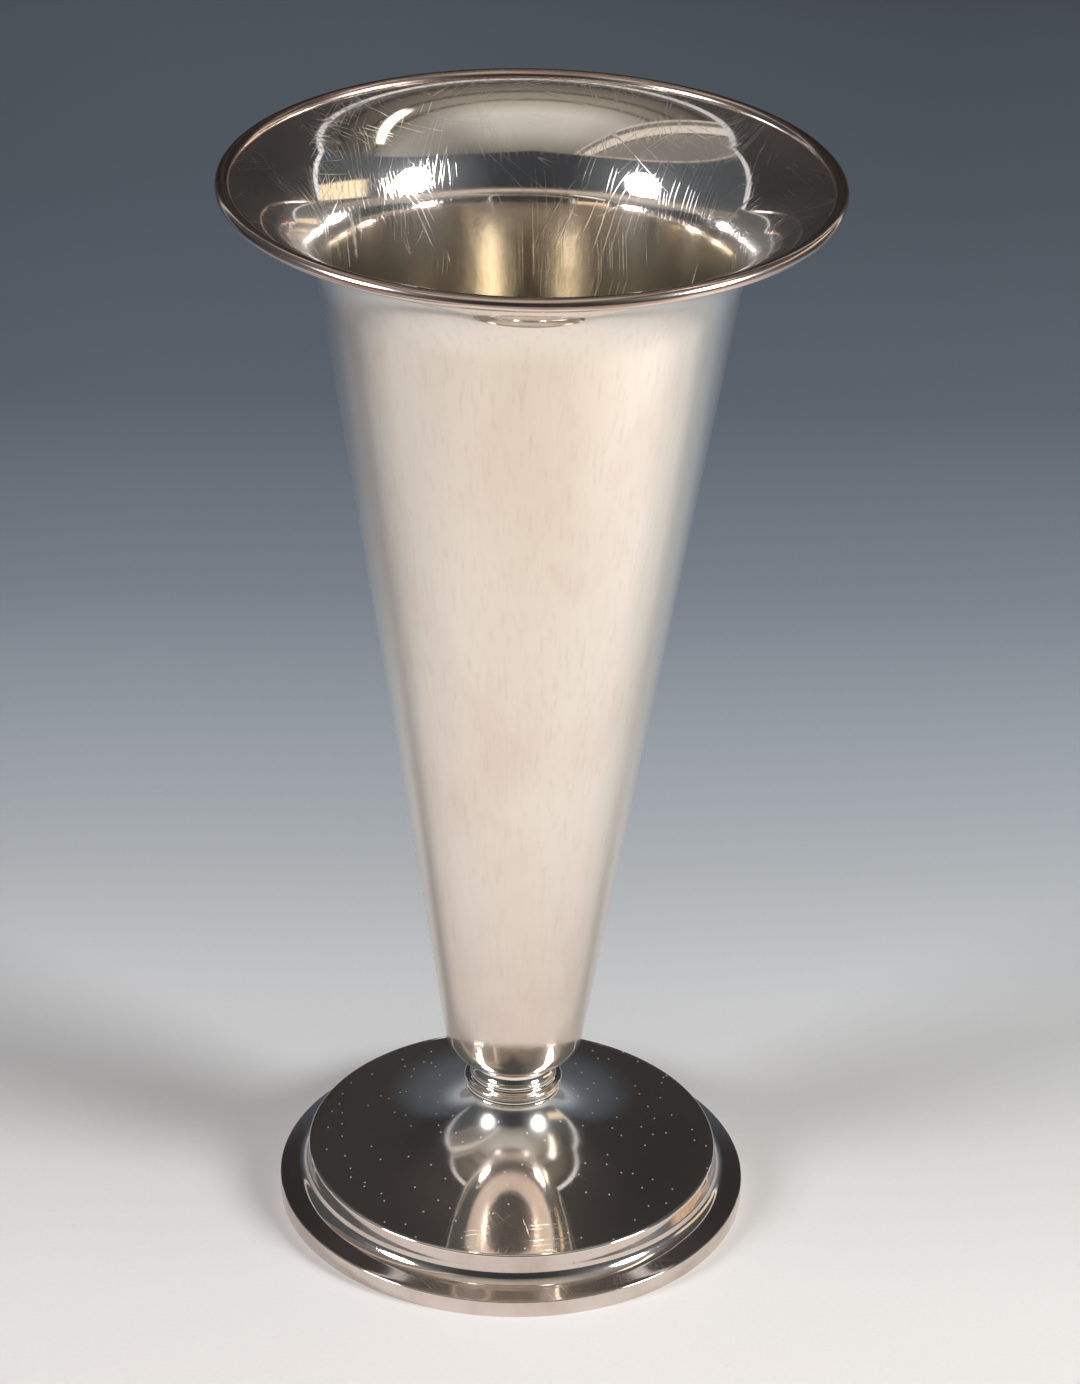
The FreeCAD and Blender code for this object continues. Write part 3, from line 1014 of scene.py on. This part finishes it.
lamps = {
    "distance": 1000.0,
    "aim": 120.0,            # height at which they point
    "width": 320.0,
    "height": 365.0,
    "azimuths": (-63.0, 68.0),
    "elevations": (25.3, 26.0),
    "powers": (6.3, 8.9),    # watts
    "colours": ("#fbfaff", "#ffffff"),
    "names": ("softLampLeft", "softLampRight"),
}


def makeLamps():
    for index, name in enumerate(lamps["names"]):
        data = bpy.data.lights.new(name, "AREA")
        data.shape = "ELLIPSE"
        data.size = lamps["width"] * mm
        data.size_y = lamps["height"] * mm
        data.energy = lamps["powers"][index]
        data.color = hexColour(lamps["colours"][index])[:3]
        lamp = bpy.data.objects.new(name, data)
        scene.collection.objects.link(lamp)
        rise = math.radians(lamps["elevations"][index])
        turn = math.radians(lamps["azimuths"][index])
        level = math.cos(rise)
        direction = Vector((math.sin(turn) * level, -math.cos(turn) * level, math.sin(rise)))
        lamp.location = direction * lamps["distance"] * mm + Vector((0, 0, lamps["aim"] * mm))
        lamp.rotation_euler = direction.to_track_quat("Z", "Y").to_euler()


# The room above and behind the camera: a pale ceiling over dark walls. The ceiling's colours are by
# degrees over from the back horizon, so they lie in straight bands, with mouldings near the back.
ceilingStops = {
    0: "#3a3634",
    50: "#6e6762",
    57: "#6c655f",
    60: "#3f3a36",
    63: "#69635c",
    70: "#7f786f",
    72: "#4d4842",
    74: "#8f887c",
    80: "#9b9487",
    82: "#615b53",
    84: "#aca597",
    97: "#d3cec7",
    115: "#c2bdb5",
    126: "#a29d94",
    134: "#857f75",
    180: "#857f75",
}

# Directions have length 1, so a share of a height or distance is a direction's slope.
room = {
    "level": 0.001,          # the lowest slope worked with
    "wallTop": 0.705,        # sine of the walls' height at the middle, lower to the sides
    "wallFall": 0.11,
    "wallSoft": 0.012,
    "wall": "#33363a",
    "sideWall": "#4a5053",
    "sideWallFade": (0.3, 0.6),
    "ceilingFade": (0.15, 0.5),
    "leftCeiling": 0.62,     # share of the ceiling's light at its sides
    "rightCeiling": 0.5,
    "sideEnd": 0.45,         # where the side's cornice starts, as a share of the ceiling's height
    "sideSoft": 0.004,
    "wallEdge": "#b9b0a2",
    "wallEdgeHigh": 0.016,
    "wallEdgeFade": (-0.3, -0.4),
    "strip": (0.4, 0.93, 0.37, 0.46),    # a light strip on the ceiling, as shares of its height
    "stripTurn": 0.32,
    "stripLight": (3.2, 3.0, 2.6, 1.0),
    "window": (0.12, 0.95, 0.2, 0.42),   # a side window, as shares of its distance
    "windowLight": (1.3, 1.05, 0.72, 1.0),
    "pane": 0.042,
    "barFade": (0.004, 0.012),
    "barShade": 0.45,
    "edgeSoft": 0.08,        # share of a window's or strip's width over which its edge fades
}

# the left side's cornice and the upper wall below it, by the same shares
sideStops = {
    0.45: "#dcd4c8",
    0.466: "#d6cec2",
    0.474: "#7a746d",
    0.515: "#77716a",
    0.525: "#dcd4c9",
    0.62: "#e6ded3",
    0.632: "#57524d",
    0.66: "#8a847e",
    0.8: "#827d78",
    1.3: "#7a7673",
}


def between(tree, value, low, high):
    # 1 between two limits and 0 outside, with soft ends
    soft = (high - low) * room["edgeSoft"]
    first = addNode(tree, "MapRange", {0: value, **over((low - soft, low + soft))}, **smooth)
    last = addNode(tree, "MapRange", {0: value, **over((high + soft, high - soft))}, **smooth)
    return addNode(tree, "Math", {0: first, 1: last}, **times)


def makeCeiling(tree, across, back, height):
    above = addNode(tree, "Math", {0: height, 1: room["level"]}, **largest)
    angle = addNode(tree, "Math", {0: above, 1: back}, operation="ARCTAN2")
    angle = addNode(tree, "Math", {0: angle, 1: 1 / math.pi}, **times)
    ceiling = addNode(tree, "ValToRGB", {0: angle})
    fillStops(ceiling.node.color_ramp, ceilingStops, 0, 180)
    shade = sideShade(tree, across, room["ceilingFade"], room["leftCeiling"], room["rightCeiling"])
    ceiling = addNode(tree, "VectorMath", {0: ceiling, "Scale": shade}, operation="SCALE")
    # the left side: a moulded cornice over a grey upper wall
    rightward = addNode(tree, "Math", {0: across, 1: above}, operation="DIVIDE")
    leftward = addNode(tree, "Math", {0: rightward, 1: -1.0}, **times)
    places = sorted(sideStops)
    band = addNode(tree, "MapRange", {0: leftward, **over((places[0], places[-1]))})
    band = addNode(tree, "ValToRGB", {0: band})
    fillStops(band.node.color_ramp, sideStops, places[0], places[-1])
    sideSpan = (room["sideEnd"] - room["sideSoft"], room["sideEnd"] + room["sideSoft"])
    beyond = addNode(tree, "MapRange", {0: leftward, **over(sideSpan)}, **smooth)
    ceiling = addNode(tree, "Mix", {0: beyond, 6: ceiling, 7: band}, **colours)
    # a light strip on the ceiling
    low, high, near, far = room["strip"]
    backward = addNode(tree, "Math", {0: back, 1: above}, operation="DIVIDE")
    backward = addNode(tree, "Math", {0: rightward, 1: room["stripTurn"], 2: backward},
                       operation="MULTIPLY_ADD")
    wide, deep = between(tree, rightward, low, high), between(tree, backward, near, far)
    strip = addNode(tree, "Math", {0: wide, 1: deep}, **times)
    return addNode(tree, "Mix", {0: strip, 6: ceiling, 7: room["stripLight"]}, **colours)


def makeWalls(tree, across, back, height, wide):
    # dark walls, darkest in the middle, with a gridded window at the right
    tint = addNode(tree, "MapRange", {0: wide, **over(room["sideWallFade"])}, **smooth)
    middle, side = hexColour(room["wall"]), hexColour(room["sideWall"])
    wall = addNode(tree, "Mix", {0: tint, 6: middle, 7: side}, **colours)
    low, high, near, far = room["window"]
    sideways = addNode(tree, "Math", {0: across, 1: room["level"]}, **largest)
    backShare = addNode(tree, "Math", {0: back, 1: sideways}, operation="DIVIDE")
    riseShare = addNode(tree, "Math", {0: height, 1: sideways}, operation="DIVIDE")
    wideShare, tallShare = between(tree, backShare, low, high), between(tree, riseShare, near, far)
    window = addNode(tree, "Math", {0: wideShare, 1: tallShare}, **times)
    bars = addNode(tree, "Math", {0: backShare, 1: room["pane"]}, operation="PINGPONG")
    bars = addNode(tree, "MapRange", {0: bars, **over(room["barFade"], room["barShade"])}, **smooth)
    window = addNode(tree, "Math", {0: window, 1: bars}, **times)
    return addNode(tree, "Mix", {0: window, 6: wall, 7: room["windowLight"]}, **colours)


def makeWorld():
    world = bpy.data.worlds.new("studioRoom")
    scene.world = world
    world.use_nodes = True
    tree = world.node_tree
    background = tree.nodes["Background"]
    direction = addNode(tree, "TexCoord", {})
    across, back, height = (addNode(tree, "SeparateXYZ", {0: direction}, output=k) for k in range(3))
    wide = addNode(tree, "Math", {0: across}, operation="ABSOLUTE")
    ceiling = makeCeiling(tree, across, back, height)
    wall = makeWalls(tree, across, back, height, wide)
    drop = addNode(tree, "Math", {0: wide, 1: -room["wallFall"]}, **times)
    top = addNode(tree, "Math", {0: drop, 1: room["wallTop"]})
    rise = addNode(tree, "Math", {0: height, 1: top}, operation="SUBTRACT")
    roof = addNode(tree, "MapRange", {0: rise, **over((-room["wallSoft"], room["wallSoft"]))}, **smooth)
    leftSide = addNode(tree, "MapRange", {0: across, **over(room["wallEdgeFade"])}, **smooth)
    ledge = between(tree, rise, 0.0, room["wallEdgeHigh"])
    ledge = addNode(tree, "Math", {0: ledge, 1: leftSide}, **times)
    ceiling = addNode(tree, "Mix", {0: ledge, 6: ceiling, 7: hexColour(room["wallEdge"])}, **colours)
    seen = addNode(tree, "Mix", {0: roof, 6: wall, 7: ceiling}, **colours)
    tree.links.new(seen, background.inputs["Color"])
    background.inputs["Strength"].default_value = 1.0


makeStage()
makeLamps()
makeWorld()
scene.view_settings.view_transform = "Standard"
print("stage and lamps set")
